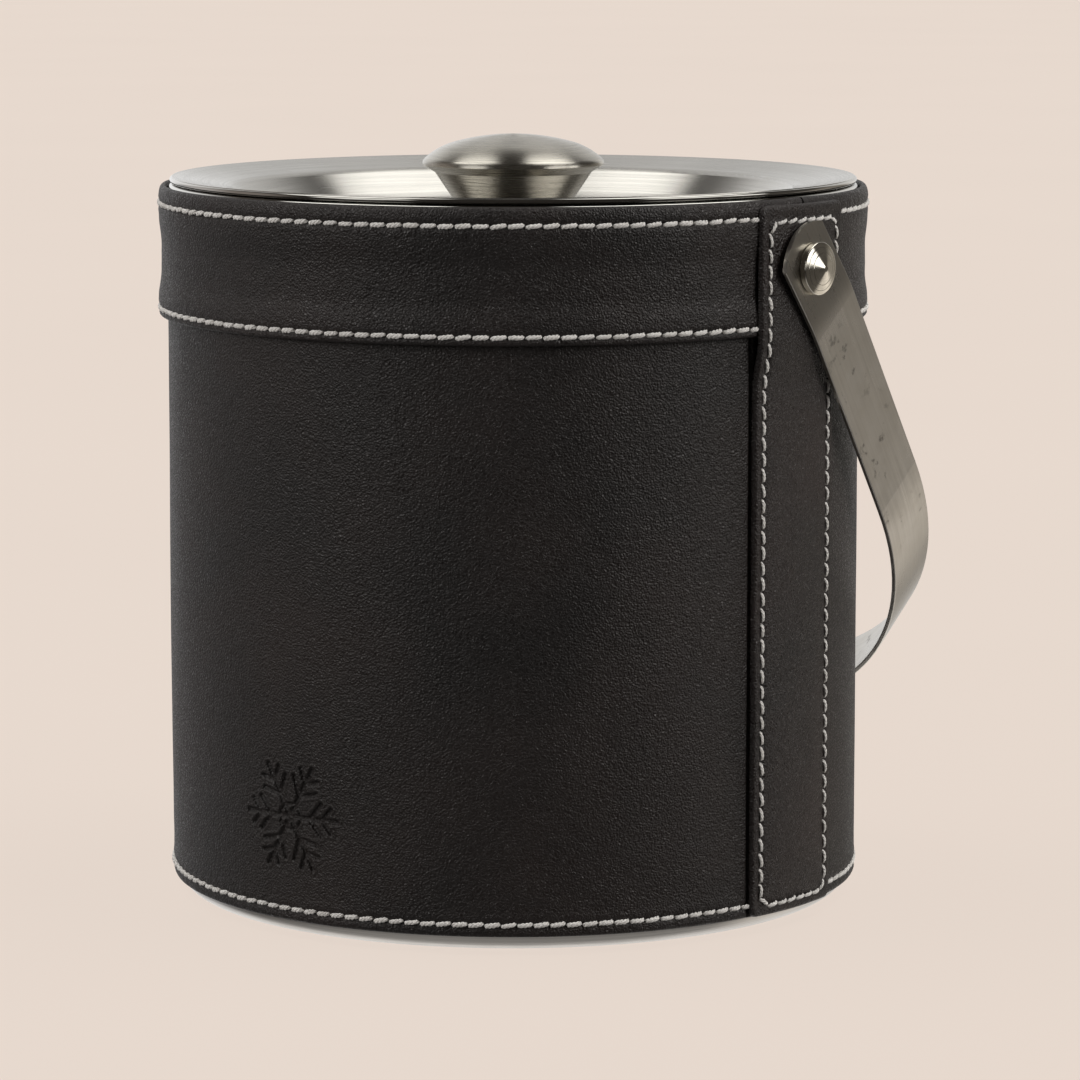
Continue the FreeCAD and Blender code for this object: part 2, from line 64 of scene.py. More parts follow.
BODY_R = low_high("body_wrap_front")[1][0]
COAT_Z0 = low_high("body_wrap_front")[0][2]
WRAP_TOP = low_high("body_wrap_front")[1][2]
COLLAR_R = low_high("collar_front")[1][0]
COLLAR_Z0 = low_high("collar_front")[0][2]
COLLAR_Z1 = low_high("collar_front")[1][2]
PANEL_OUT = low_high("strap_panel_right")[1][0]
PANEL_Z1 = low_high("strap_panel_right")[1][2]
PANEL_HALF = low_high("strap_panel_right")[1][1]
BODY_SEAM_Z = sum(c[2] for c in low_high("body_hem_thread")) / 2
COLLAR_SEAM_LOW = sum(c[2] for c in low_high("collar_foot_thread")) / 2
COLLAR_SEAM_TOP = sum(c[2] for c in low_high("collar_top_thread")) / 2
PANEL_LEATHER = 1.35
PIVOT = joint("bail_swing")["pos_m"][2] / MM
PANEL_HALF_DEG = math.degrees(math.asin(PANEL_HALF / PANEL_OUT))
PANEL_SEAM_DEG = PANEL_HALF_DEG - 2.0
LID_R = low_high("lid_pan")[1][0]
WRAP_IN = BODY_R - 1.55
COLLAR_IN = BODY_R + 0.05
LIP_R = BODY_R - 0.2
BEAD_ROD = 1.35


# ---- mesh tools -------------------------------------------------------------------------------------
def smoothstep(a, b, x):
    t = np.clip((x - a) / (b - a), 0.0, 1.0)
    return t * t * (3 - 2 * t)


def value_noise(u, v, seed):
    """Smooth 2-D noise from -1 to 1 at unit scale; u repeats every 64."""
    table = np.random.RandomState(seed).uniform(-1, 1, (64, 64))
    iu, iv = np.floor(u).astype(int), np.floor(v).astype(int)
    fu, fv = u - iu, v - iv
    fu, fv = fu * fu * (3 - 2 * fu), fv * fv * (3 - 2 * fv)
    a, b = table[iu % 64, iv % 64], table[(iu + 1) % 64, iv % 64]
    c, d = table[iu % 64, (iv + 1) % 64], table[(iu + 1) % 64, (iv + 1) % 64]
    return (a * (1 - fu) + b * fu) * (1 - fv) + (c * (1 - fu) + d * fu) * fv


SOFT_GOODS = []


def new_piece(name, points, faces, body, material, replaced=(), soft=True):
    """A mesh piece from an (n, 3) array in millimetres and a list or array of faces.
    The soft ones are the ones the soft boxes light."""
    mesh = bpy.data.meshes.new(name)
    mesh.from_pydata((points * MM).tolist(), [], faces.tolist() if isinstance(faces, np.ndarray) else faces)
    mesh.validate()
    mesh.polygons.foreach_set("use_smooth", [True] * len(mesh.polygons))
    obj = bpy.data.objects.new(name, mesh)
    bpy.context.scene.collection.objects.link(obj)
    mesh.materials.append(material)
    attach(obj, body)
    if replaced:
        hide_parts(*replaced)
    if soft:
        SOFT_GOODS.append(obj)


def grid_faces(rows, columns, close_rows=False, first=0, flip=False):
    """Quads of a rows x columns grid of points, laid out row by row."""
    r = np.arange(rows if close_rows else rows - 1)
    c = np.arange(columns - 1)
    rr, cc = np.meshgrid(r, c, indexing="ij")
    nxt = (rr + 1) % rows
    here, there = rr * columns + cc, nxt * columns + cc
    quads = np.stack([here, here + 1, there + 1, there], -1).reshape(-1, 4) + first
    return quads[:, ::-1] if flip else quads


def cylinder_points(r, theta, z):
    return np.stack([r * np.cos(theta), r * np.sin(theta), z], -1)


def dense(stops):
    """Sorted values from (start, end, step) runs, end to end."""
    out = [stops[0][0]]
    for start, end, step in stops:
        n = max(1, int(round(abs(end - start) / step)))
        out += list(np.linspace(start, end, n + 1)[1:])
    return np.array(out)


# ---- sewing -----------------------------------------------------------------------------------------
SEAM_DIP = 0.3
HOLE_DIP = 0.5


def seam_relief(along, across, pitch):
    """Height of the leather beside a row of stitches: a shallow channel, needle holes, pillows between."""
    to_hole = (along / pitch - np.round(along / pitch)) * pitch
    channel = -SEAM_DIP * np.exp(-(across / 0.8) ** 2)
    holes = -HOLE_DIP * np.exp(-(to_hole ** 2 + across ** 2) / 0.5 ** 2)
    pillow = 0.07 * np.exp(-((np.abs(across) - 1.7) / 0.8) ** 2) * (1 - 0.7 * np.cos(TAU * along / pitch))
    return channel + holes + pillow


def stitch_mesh(points, normals, closed=False, radius=0.56, slants=(0.22, 0.4), seed=1):
    """Twisted-thread stitches between needle holes: arrays of points and quads, in millimetres."""
    draw = random.Random(seed)
    rings, sides, plies = 13, 6, 3
    verts, quads, first = [], [], 0
    count = len(points) if closed else len(points) - 1
    for k in range(count):
        a, b = np.array(points[k]), np.array(points[(k + 1) % len(points)])
        na, nb = np.array(normals[k]), np.array(normals[(k + 1) % len(points)])
        length = np.linalg.norm(b - a)
        run = (b - a) / length
        up = na + nb
        up -= run * up.dot(run)
        up /= np.linalg.norm(up)
        left = np.cross(up, run)
        slant = draw.uniform(*slants)
        lift = draw.uniform(0.02, 0.14)
        fat = draw.uniform(0.93, 1.08)
        turn0 = draw.uniform(0, TAU)
        turns = 1.15 * length / 4.0
        t = np.linspace(0, 1, rings)
        arch = np.sin(math.pi * t) ** 0.36
        hook = slant * (2 * t - 1) + draw.uniform(0.0, 0.16) * np.sin(TAU * t)
        spine = (a[None] + np.outer(0.07 * length + t * 0.86 * length, run)
                 + np.outer(hook + 0.05 * draw.uniform(-1, 1), left)
                 + np.outer(-0.8 + (lift + 0.8) * arch, up))
        tangent = np.gradient(spine, axis=0)
        tangent /= np.linalg.norm(tangent, axis=1)[:, None]
        side = np.cross(tangent, up)
        side /= np.linalg.norm(side, axis=1)[:, None]
        top = np.cross(side, tangent)
        swell = (0.78 + 0.22 * np.sin(math.pi * t) ** 0.4) * fat
        for ply in range(plies):
            phase = turn0 + TAU * ply / plies + TAU * turns * t
            reach = radius * 0.46 * swell
            axis = (spine + side * (np.cos(phase) * reach * 1.1)[:, None]
                    + top * (np.sin(phase) * reach * 0.62)[:, None])
            around = np.linspace(0, TAU, sides, endpoint=False)
            rad = radius * 0.62 * swell
            ring = (axis[:, None, :]
                    + side[:, None, :] * (np.cos(around)[None, :, None] * rad[:, None, None])
                    + top[:, None, :] * (np.sin(around)[None, :, None] * rad[:, None, None] * 0.78))
            verts.append(ring.reshape(-1, 3))
            for i in range(rings - 1):
                for j in range(sides):
                    j2 = (j + 1) % sides
                    quads.append([first + i * sides + j, first + i * sides + j2,
                                  first + (i + 1) * sides + j2, first + (i + 1) * sides + j])
            quads.append([first + j for j in range(sides)][::-1])
            quads.append([first + (rings - 1) * sides + j for j in range(sides)])
            first += rings * sides
    return np.concatenate(verts), quads


# ---- materials --------------------------------------------------------------------------------------
class Nodes:
    """A short way to write a material's node tree."""

    def __init__(self, name):
        self.mat = bpy.data.materials.new(name)
        self.mat.use_nodes = True
        self.tree = self.mat.node_tree
        self.bsdf = self.tree.nodes["Principled BSDF"]

    def node(self, kind, **settings):
        made = self.tree.nodes.new(kind)
        inputs = settings.pop("inputs", {})
        for key, value in settings.items():
            setattr(made, key, value)
        for key, value in inputs.items():
            self.put(made.inputs[key], value)
        return made

    def put(self, socket, value):
        if isinstance(value, bpy.types.NodeSocket):
            self.tree.links.new(value, socket)
        else:
            socket.default_value = value

    def math(self, operation, a, b=0.0, c=0.0):
        made = self.node("ShaderNodeMath", operation=operation)
        for socket, value in zip(made.inputs, (a, b, c)):
            self.put(socket, value)
        return made.outputs[0]

    def vector(self, operation, a, b=(0, 0, 0), scale=1.0):
        made = self.node("ShaderNodeVectorMath", operation=operation)
        self.put(made.inputs[0], a)
        self.put(made.inputs[1], b)
        made.inputs[3].default_value = scale
        return made.outputs["Value"] if operation in ("DOT_PRODUCT", "LENGTH") else made.outputs[0]

    def noise(self, vector, scale, detail=2.0, rough=0.5):
        made = self.node("ShaderNodeTexNoise", inputs={
            "Vector": vector, "Scale": scale, "Detail": detail, "Roughness": rough})
        return made.outputs["Fac"]

    def remap(self, value, a, b, c, d):
        made = self.node("ShaderNodeMapRange", inputs={0: value, 1: a, 2: b, 3: c, 4: d})
        return made.outputs[0]

    def mix(self, factor, a, b):
        made = self.node("ShaderNodeMix", data_type="RGBA")
        self.put(made.inputs[0], factor)
        self.put(made.inputs[6], a)
        self.put(made.inputs[7], b)
        return made.outputs[2]

    def bump(self, height, distance, strength=1.0):
        made = self.node("ShaderNodeBump", inputs={
            "Height": height, "Distance": distance, "Strength": strength})
        return made.outputs[0]

    def set(self, **values):
        for key, value in values.items():
            self.put(self.bsdf.inputs[key.replace("_", " ")], value)


def place(n):
    return n.node("ShaderNodeTexCoord").outputs["Object"]


# The third colour is the lighter crest colour; with it the grain's hollows stay darker, which is painted
# shade.
HIDE_COLOURS = ((0.0045, 0.0031, 0.0029), (0.0135, 0.0082, 0.0069), (0.016, 0.0112, 0.0098))


def leather(name, tint=(1.0, 1.0, 1.0), rough=(0.35, 0.385)):
    """Dark, finished hide: fine pebbles, duller creases, long wrinkles, crests painted lighter than the
    hollows as painted shade in the grain, warm mottling.
    """
    n = Nodes(name)
    p = place(n)
    warp = n.node("ShaderNodeTexNoise", inputs={"Vector": p, "Scale": 650.0, "Detail": 2.0}).outputs["Color"]
    shifted = n.vector("ADD", p, n.vector("SCALE", n.vector("SUBTRACT", warp, (0.5, 0.5, 0.5)), scale=0.0007))
    pebbles = n.node("ShaderNodeTexVoronoi", feature="SMOOTH_F1", inputs={
        "Vector": shifted, "Scale": 1700.0, "Smoothness": 0.25}).outputs["Distance"]
    parting = n.node("ShaderNodeTexVoronoi", feature="DISTANCE_TO_EDGE", inputs={
        "Vector": shifted, "Scale": 1400.0}).outputs["Distance"]
    wrinkles = n.node("ShaderNodeTexVoronoi", feature="DISTANCE_TO_EDGE", inputs={
        "Vector": n.vector("MULTIPLY", shifted, (1.0, 1.0, 0.62)), "Scale": 360.0}).outputs["Distance"]
    pores = n.noise(p, 5200.0, 2.0, 0.6)
    swell = n.noise(p, 420.0, 3.0, 0.6)
    crease = n.remap(parting, 0.02, 0.3, 0.0, 1.0)
    wrinkle = n.remap(wrinkles, 0.0, 0.07, 0.0, 1.0)
    height = n.math("MULTIPLY_ADD", pebbles, -0.9, n.math("MULTIPLY", crease, 0.3))
    height = n.math("MULTIPLY_ADD", wrinkle, 0.09, height)
    height = n.math("MULTIPLY_ADD", pores, 0.14, height)
    height = n.math("MULTIPLY_ADD", swell, 0.35, height)
    strength = n.remap(n.noise(p, 45.0, 2.0), 0.3, 0.7, 0.85, 1.0)
    dark, warm, painted_crest_light = ((*(c * t for c, t in zip(colour, tint)), 1) for colour in HIDE_COLOURS)
    mottle = n.noise(p, 22.0, 3.0, 0.55)
    base = n.mix(n.remap(mottle, 0.35, 0.68, 0.0, 1.0), dark, warm)
    # Painted shade: the grain's raised crests take the lighter colour and its hollows stay darker.
    base = n.mix(n.remap(height, 0.15, 0.6, 0.0, 0.55), base, painted_crest_light)
    roughness = n.math("ADD", n.remap(mottle, 0.3, 0.7, *rough),
                       n.remap(crease, 0.0, 1.0, 0.26, -0.05))
    n.set(Base_Color=base, Roughness=roughness, Normal=n.bump(height, 0.23 * MM, strength),
          Specular_IOR_Level=0.5, Specular_Tint=(1.0, 0.97, 0.95, 1))
    return n.mat


def steel(name, colour, rough, spin=None, along=None, aniso=0.0, streak=1.0, scratches=0.0, bump_mm=0.004,
          fine=5200.0, wide=6.0, polish=None):
    """Brushed steel. spin=(centre, axis) brushes in circles, along=(across axis, centre) along a strap.
    polish=(from, to, share) eases the roughness, between two radii in millimetres, to a share of itself."""
    n = Nodes(name)
    p = place(n)
    if spin:
        centre, axis = spin
        q = n.vector("SUBTRACT", p, tuple(c * MM for c in centre))
        xyz = n.node("ShaderNodeSeparateXYZ", inputs={0: q}).outputs
        a, b, h = {"Z": (xyz[0], xyz[1], xyz[2]), "X": (xyz[1], xyz[2], xyz[0])}[axis]
        radius = n.math("SQRT", n.math("ADD", n.math("MULTIPLY", a, a), n.math("MULTIPLY", b, b)))
        angle = n.math("ARCTAN2", b, a)
        flat = n.node("ShaderNodeCombineXYZ", inputs={
            0: n.math("MULTIPLY", n.math("ADD", radius, h), fine),
            1: n.math("MULTIPLY", angle, wide / 4),
            2: n.math("MULTIPLY", n.math("SUBTRACT", radius, h), fine)}).outputs[0]
    else:
        axis, centre = along
        q = n.vector("SUBTRACT", p, tuple(c * MM for c in centre))
        cross = n.vector("DOT_PRODUCT", q, axis)
        length = n.vector("LENGTH", q)
        flat = n.node("ShaderNodeCombineXYZ", inputs={
            0: n.math("MULTIPLY", cross, fine), 1: n.math("MULTIPLY", length, wide * 8), 2: 0.0}).outputs[0]
    lines = n.noise(flat, 1.0, 3.0, 0.65)
    coarse = n.noise(n.vector("MULTIPLY", flat, (0.22, 1.0, 0.22)), 1.0, 2.0, 0.5)
    cloud = n.noise(p, 38.0, 3.0, 0.6)
    tone = n.math("ADD", n.math("MULTIPLY", lines, 0.55), n.math("MULTIPLY", coarse, 0.45))
    bright = tuple(min(1.0, c * (1 + 0.12 * streak)) for c in colour)
    dim = tuple(c * (1 - 0.2 * streak) for c in colour)
    base = n.mix(n.remap(tone, 0.32, 0.68, 0.0, 1.0), (*dim, 1), (*bright, 1))
    base = n.mix(n.remap(cloud, 0.3, 0.7, 0.0, 0.22), base, (*(c * 0.82 for c in colour), 1))
    roughness = n.math("ADD", n.remap(tone, 0.3, 0.7, rough * 1.18, rough * 0.84),
                       n.remap(cloud, 0.3, 0.7, 0.0, rough * 0.2))
    if scratches:
        smears = n.noise(p, 210.0, 4.0, 0.7)
        zones = n.noise(p, 36.0, 2.0, 0.5)
        cut = n.math("MULTIPLY", n.remap(smears, 0.6, 0.68, 0.0, 1.0),
                     n.remap(zones, 0.53, 0.62, 0.0, scratches))
        base = n.mix(cut, base, (*(c * 0.4 for c in colour), 1))
        roughness = n.math("MULTIPLY_ADD", cut, 0.2, roughness)
        patina = n.noise(p, 90.0, 4.0, 0.65)
        aged = (*(c * share for c, share in zip(colour, (0.8, 0.76, 0.68))), 1)
        base = n.mix(n.remap(patina, 0.35, 0.7, 0.0, 0.32), base, aged)
        roughness = n.math("ADD", roughness, n.remap(patina, 0.3, 0.7, -0.03, 0.05))
    if polish:
        inner, outer, share = polish
        roughness = n.math("MULTIPLY", roughness, n.remap(radius, inner * MM, outer * MM, 1.0, share))
    n.set(Base_Color=base, Metallic=1.0, Roughness=roughness, Normal=n.bump(tone, bump_mm * MM))
    if aniso:
        n.bsdf.inputs["Anisotropic"].default_value = aniso
        n.bsdf.inputs["Anisotropic Rotation"].default_value = 0.25
        if spin:
            tangent = n.node("ShaderNodeTangent", direction_type="RADIAL", axis=spin[1]).outputs[0]
        else:
            normal = n.node("ShaderNodeNewGeometry").outputs["Normal"]
            tangent = n.vector("CROSS_PRODUCT", normal, along[0])
        n.put(n.bsdf.inputs["Tangent"], tangent)
    return n.mat


def thread_material():
    n = Nodes("thread")
    p = place(n)
    fibre = n.noise(p, 5200.0, 3.0, 0.7)
    dirt = n.noise(p, 160.0, 2.0)
    base = n.mix(n.remap(fibre, 0.3, 0.7, 0.0, 1.0), (0.78, 0.74, 0.69, 1), (0.97, 0.95, 0.92, 1))
    base = n.mix(n.remap(dirt, 0.45, 0.75, 0.0, 0.25), base, (0.42, 0.37, 0.31, 1))
    n.set(Base_Color=base, Roughness=0.62, Normal=n.bump(fibre, 0.06 * MM),
          Sheen_Weight=0.35, Sheen_Roughness=0.4)
    return n.mat


def foam_material():
    n = Nodes("foam")
    p = place(n)
    cell = n.node("ShaderNodeTexVoronoi", inputs={"Vector": p, "Scale": 900.0}).outputs["Distance"]
    base = n.mix(n.remap(cell, 0.0, 0.7, 0.0, 1.0), (0.55, 0.5, 0.38, 1), (0.82, 0.79, 0.68, 1))
    n.set(Base_Color=base, Roughness=0.9, Normal=n.bump(cell, 0.0003))
    return n.mat


def dark_plastic():
    n = Nodes("spacer_plastic")
    grit = n.noise(place(n), 2600.0, 3.0, 0.7)
    base = n.mix(grit, (0.012, 0.012, 0.013, 1), (0.03, 0.03, 0.032, 1))
    n.set(Base_Color=base, Roughness=n.remap(grit, 0.3, 0.7, 0.42, 0.6), Normal=n.bump(grit, 0.00003))
    return n.mat


SWING = math.radians(38.2)
BAIL_ACROSS = (0.0, math.cos(SWING), math.sin(SWING))
BODY_HIDE = leather("body_leather")
COLLAR_HIDE = leather("collar_leather", tint=(1.04, 1.0, 1.0))
PANEL_HIDE = leather("panel_leather", tint=(1.12, 1.0, 0.96), rough=(0.3, 0.33))
THREAD = thread_material()
AXIS = (0.0, 0.0, 0.0)
PIVOT_AT = (0.0, 0.0, PIVOT)

FINISHES = {
    "lid_pan": steel("lid_steel", (0.53, 0.515, 0.48), 0.22, spin=(AXIS, "Z"), aniso=0.85, streak=0.6,
                     polish=(LID_R - 0.7, LID_R - 0.3, 0.3)),
    "lid_knob": steel("knob_steel", (0.5, 0.475, 0.42), 0.24, spin=(AXIS, "Z"), aniso=0.85, streak=1.2,
                      bump_mm=0.005),
    "liner_pail": steel("liner_steel", (0.62, 0.61, 0.58), 0.13, spin=(AXIS, "Z"), aniso=0.4, streak=0.7,
                        polish=(LID_R - 4.0, LID_R - 3.0, 0.45)),
    "outer_shell": steel("shell_steel", (0.6, 0.58, 0.55), 0.3, spin=(AXIS, "Z"), aniso=0.5, streak=1.3),
    "base_plate": steel("base_steel", (0.58, 0.57, 0.55), 0.34, spin=(AXIS, "Z"), aniso=0.4),
    "bail_strap": steel("bail_steel", (0.58, 0.555, 0.51), 0.27, along=(BAIL_ACROSS, PIVOT_AT), aniso=0.6,
                        streak=0.55, scratches=0.8, bump_mm=0.002),
    "stud": steel("stud_steel", (0.78, 0.74, 0.65), 0.12, spin=(PIVOT_AT, "X"), aniso=0.75, streak=1.0,
                  bump_mm=0.006, fine=3800.0),
    "fastener": steel("fastener_steel", (0.56, 0.56, 0.55), 0.3, spin=(AXIS, "Z"), streak=0.8),
    "foam": foam_material(),
    "spacer": dark_plastic(),
}


def finish_of(node):
    for key, name in (("pivot_stud", "stud"), ("pivot_spacer", "spacer"), ("pivot_backing", "fastener"),
                      ("pivot_nut", "fastener"), ("lid_knob_", "fastener"), ("foam", "foam")):
        if node.startswith(key):
            return FINISHES[name]
    return FINISHES.get(node)


for node_name, node_object in frame["nodes"].items():
    material = finish_of(node_name)
    if material:
        node_object.data.materials.clear()
        node_object.data.materials.append(material)


# ---- rolled bead ------------------------------------------------------------------------------------
def make_bead():
    """The liner's rolled edge turned finely, a hair proud of the coarser one beneath it."""
    around, section = 512, 25
    outer, _, top = low_high("liner_pail")[1]
    rod = BEAD_ROD + 0.03
    angle = np.repeat(np.arange(around) * 2 * math.pi / around, section)
    turn = np.tile(np.linspace(0, 2 * math.pi, section), around)
    radius = outer - BEAD_ROD + rod * np.cos(turn)
    points = cylinder_points(radius, angle, top - BEAD_ROD + rod * np.sin(turn))
    faces = grid_faces(around, section, close_rows=True, flip=True)
    new_piece("liner_bead", points, faces, "bucket", FINISHES["liner_pail"], soft=False)


make_bead()


# ---- leather wrap and collar ------------------------------------------------------------------------
STITCH_COLLAR = 4.2
STITCH_BODY = 4.0
STITCH_PANEL = 3.8


def ring_count(radius, pitch):
    """Stitches in one half ring, between the panels, and the angle from one needle hole to the next."""
    span = math.pi - 2 * math.radians(PANEL_HALF_DEG - 1.2)
    number = round(span * radius / pitch)
    return number, span / number


def half_start(side):
    """Angle of a half ring's first needle hole."""
    return math.radians(PANEL_HALF_DEG - 1.2) + (0 if side > 0 else math.pi)


def ring_relief(theta, z, radius, seam_z, pitch, side):
    """Relief beside the seam at seam_z on one half ring."""
    along = (theta - half_start(side)) * radius
    return seam_relief(along, z - seam_z, ring_count(radius, pitch)[1] * radius)


def half_columns(side, radius, pitch):
    """Angles of a leather half's columns of points, nine to a stitch, with a hair's gap at each end."""
    start = 0.0 if side > 0 else math.pi
    gap = math.radians(0.15)
    return np.linspace(start + gap, start + math.pi - gap, ring_count(radius, pitch)[0] * 9)


def half_mesh(word, side, r, theta, z, material, replaced):
    """One half ring of leather from a grid of points whose rows close into a loop, with both ends capped."""
    rows, columns = z.shape
    points = cylinder_points(r, theta, z).reshape(-1, 3)
    quads = grid_faces(rows, columns, close_rows=True, flip=True)
    ends = [[i * columns for i in range(rows)], [i * columns + columns - 1 for i in range(rows)][::-1]]
    name = "front" if side < 0 else "back"
    new_piece(f"{word}_leather_{name}", points, quads.tolist() + ends, "bucket", material,
              [f"{replaced}_{name}"])


def snow_crystal(s, z):
    """Depth of a pressed six-armed snow crystal, from distances to its strokes."""
    rho, phi = np.hypot(s, z), np.arctan2(z, s)
    sector = np.abs((phi + math.pi / 6) % (math.pi / 3) - math.pi / 6)
    x, y = rho * np.cos(sector), rho * np.sin(sector)

    def stroke(x0, y0, x1, y1, width):
        dx, dy = x1 - x0, y1 - y0
        t = np.clip(((x - x0) * dx + (y - y0) * dy) / (dx * dx + dy * dy), 0, 1)
        return np.hypot(x - x0 - t * dx, y - y0 - t * dy) - width

    marks = [stroke(0, 0, 14.2, 0, 0.62), stroke(6.0, 0, 9.6, 4.0, 0.52), stroke(9.8, 0, 12.4, 3.0, 0.5),
             np.abs(rho - 3.2) - 0.35]
    distance = np.minimum.reduce(marks)
    return smoothstep(0.16, -0.2, distance), distance


FRONT = 1.5 * math.pi      # the angle of -Y, where the crystal is
EMBLEM_Z = 30.0
EMBLEM_REACH = 16.4        # half the side of the finely meshed square
FINE_ROW = 0.42            # height of the mesh's rows beside a seam
HEM_TOP = 11.5             # top of the fine rows at the body's foot
HIDDEN_Z = COLLAR_Z0 + 4   # from here up the collar hides the body's leather
COLLAR_FOOT_Z = 153.0      # top of the fine rows at the collar's foot
COLLAR_HEAD_Z = 172.0      # bottom of the fine rows at its top
ROLL_Z = 177.6             # where the collar's rolled top edge starts
WAIST_DEPTH = 0.62


def wrap_half(side):
    """Half of the body's leather, with its turned lower edge, seam and, in front, a pressed snow crystal."""
    thetas = half_columns(side, BODY_R, STITCH_BODY)
    if side < 0:
        reach = EMBLEM_REACH / BODY_R
        thetas = thetas[np.abs(thetas - FRONT) > reach]
        thetas = np.sort(np.concatenate([thetas, np.linspace(FRONT - reach, FRONT + reach, 152)]))
        middle = [(HEM_TOP, EMBLEM_Z - EMBLEM_REACH, 1.2),
                  (EMBLEM_Z - EMBLEM_REACH, EMBLEM_Z + EMBLEM_REACH, 0.22),
                  (EMBLEM_Z + EMBLEM_REACH, HIDDEN_Z, 3.0)]
    else:
        middle = [(HEM_TOP, HIDDEN_Z, 3.0)]
    rows = [(COAT_Z0 + 0.9, HEM_TOP, FINE_ROW), *middle, (HIDDEN_Z, WRAP_TOP, 14)]
    zs = dense(rows)
    foot = [(WRAP_IN, COAT_Z0 + 1.0), (WRAP_IN + 0.1, COAT_Z0 + 0.35), (WRAP_IN + 0.45, COAT_Z0 + 0.04),
            (BODY_R - 0.75, COAT_Z0), (BODY_R - 0.3, COAT_Z0 + 0.15), (BODY_R - 0.06, COAT_Z0 + 0.5)]
    profile_r = np.concatenate([[r for r, _ in foot], np.full(len(zs), BODY_R), [WRAP_IN]])
    profile_z = np.concatenate([[z for _, z in foot], zs, [zs[-1]]])
    outer = np.concatenate([np.zeros(3), [0.2, 0.6, 0.9], np.ones(len(zs) - 1), [0.0, 0.0]])
    z, theta = np.meshgrid(profile_z, thetas, indexing="ij")
    s = theta * BODY_R
    relief = ring_relief(theta, z, BODY_R, BODY_SEAM_Z, STITCH_BODY, side)
    relief += 0.16 * value_noise(s / 41 + 3, z / 75, 5) + 0.06 * value_noise(s / 13, z / 22, 6)
    relief += 0.05 * value_noise(s / 5.5, z / 4.5, 16) * smoothstep(30, 8, z)
    for edge, outward in ((PANEL_HALF_DEG, 1), (180 - PANEL_HALF_DEG, -1),
                          (180 + PANEL_HALF_DEG, 1), (360 - PANEL_HALF_DEG, -1)):
        away = (theta - math.radians(edge)) * BODY_R * outward
        relief -= 0.9 * np.exp(-((away - 0.2) / 0.42) ** 4)
    if side < 0:
        depth, distance = snow_crystal((theta - FRONT) * BODY_R, z - EMBLEM_Z)
        relief -= 0.6 * depth
        relief += 0.16 * np.exp(-((distance - 0.55) / 0.35) ** 2) - 0.12 * smoothstep(2.6, 0.4, distance)
    r = profile_r[:, None] + relief * outer[:, None] - 0.12 * outer[:, None]
    half_mesh("body", side, r, theta, z, BODY_HIDE, "body_wrap")


def collar_half(side):
    """Half of the collar: a folded hem at the foot, a drawn-in waist and a rolled top edge."""
    thetas = half_columns(side, COLLAR_R, STITCH_COLLAR)
    zs = dense([(COLLAR_Z0 + 1.1, COLLAR_FOOT_Z, FINE_ROW), (COLLAR_FOOT_Z, COLLAR_HEAD_Z, 1.0),
                (COLLAR_HEAD_Z, ROLL_Z, FINE_ROW)])
    waist = WAIST_DEPTH * smoothstep(152.2, 157.5, zs) * (1 - smoothstep(165.0, 172.5, zs))
    foot = [(COLLAR_IN, COLLAR_Z0 + 0.9), (COLLAR_IN + 0.12, COLLAR_Z0 + 0.3), (COLLAR_IN + 0.5, COLLAR_Z0),
            (COLLAR_R - 0.75, COLLAR_Z0 + 0.02), (COLLAR_R - 0.28, COLLAR_Z0 + 0.22),
            (COLLAR_R - 0.06, COLLAR_Z0 + 0.6)]
    roll = []
    crest_r, crest_z = (COLLAR_R + LIP_R) / 2 - 0.05, COLLAR_Z1
    for k in range(1, 9):
        a = math.pi / 2 * k / 8
        roll.append((crest_r + (COLLAR_R - crest_r) * math.cos(a), ROLL_Z + (crest_z - ROLL_Z) * math.sin(a)))
    for k in range(1, 6):
        a = math.pi / 2 * (1 + k / 5)
        roll.append((crest_r + (crest_r - LIP_R) * math.cos(a), crest_z - 1.0 + math.sin(a)))
    inner = [(LIP_R, 178.1), (COLLAR_IN, 177.9), (COLLAR_IN, 165.0)]
    top = roll + inner
    profile_r = np.concatenate([[r for r, _ in foot], COLLAR_R - waist, [r for r, _ in top]])
    profile_z = np.concatenate([[z for _, z in foot], zs, [z for _, z in top]])
    outer = np.concatenate([np.zeros(2), [0.1, 0.3, 0.7, 0.95], np.ones(len(zs)),
                            np.linspace(0.9, 0.25, 8), np.linspace(0.2, 0, 5), np.zeros(3)])
    z, theta = np.meshgrid(profile_z, thetas, indexing="ij")
    s = theta * COLLAR_R
    relief = ring_relief(theta, z, COLLAR_R, COLLAR_SEAM_LOW, STITCH_COLLAR, side)
    relief += ring_relief(theta, z, COLLAR_R, COLLAR_SEAM_TOP, STITCH_COLLAR, side)
    relief += 0.14 * value_noise(s / 33 + 9, z / 14, 7) + 0.05 * value_noise(s / 9, z / 7, 8)
    relief += 0.035 * value_noise(s / 2.6, z / 1.7, 18)
    r = profile_r[:, None] + (relief - 0.08) * outer[:, None]
    half_mesh("collar", side, r, theta, z, COLLAR_HIDE, "collar")


def seam_ring(name, radius, z, pitch, replaced, seed):
    """Both halves of a sewn ring, ending under the strap panels."""
    all_points, all_quads, first = [], [], 0
    for side in (-1, 1):
        number, step = ring_count(radius, pitch)
        holes = [half_start(side) + step * k for k in range(number + 1)]
        wander = random.Random(seed + side)
        points = [cylinder_points(radius - 0.1, a, z + wander.uniform(-0.07, 0.07)) for a in holes]
        normals = [(math.cos(a), math.sin(a), 0.0) for a in holes]
        verts, quads = stitch_mesh(points, normals, seed=seed * 7 + side)
        all_points.append(verts)
        all_quads += [[i + first for i in q] for q in quads]
        first += len(verts)
    new_piece(name, np.concatenate(all_points), all_quads, "bucket", THREAD, replaced)


# ---- strap panels -----------------------------------------------------------------------------------
PANEL_LOW = BODY_R + 0.05
PANEL_HIGH = COLLAR_R + 0.05
PANEL_CORNER = 2.2
PANEL_SEAM_Z = (6.6, 174.8)


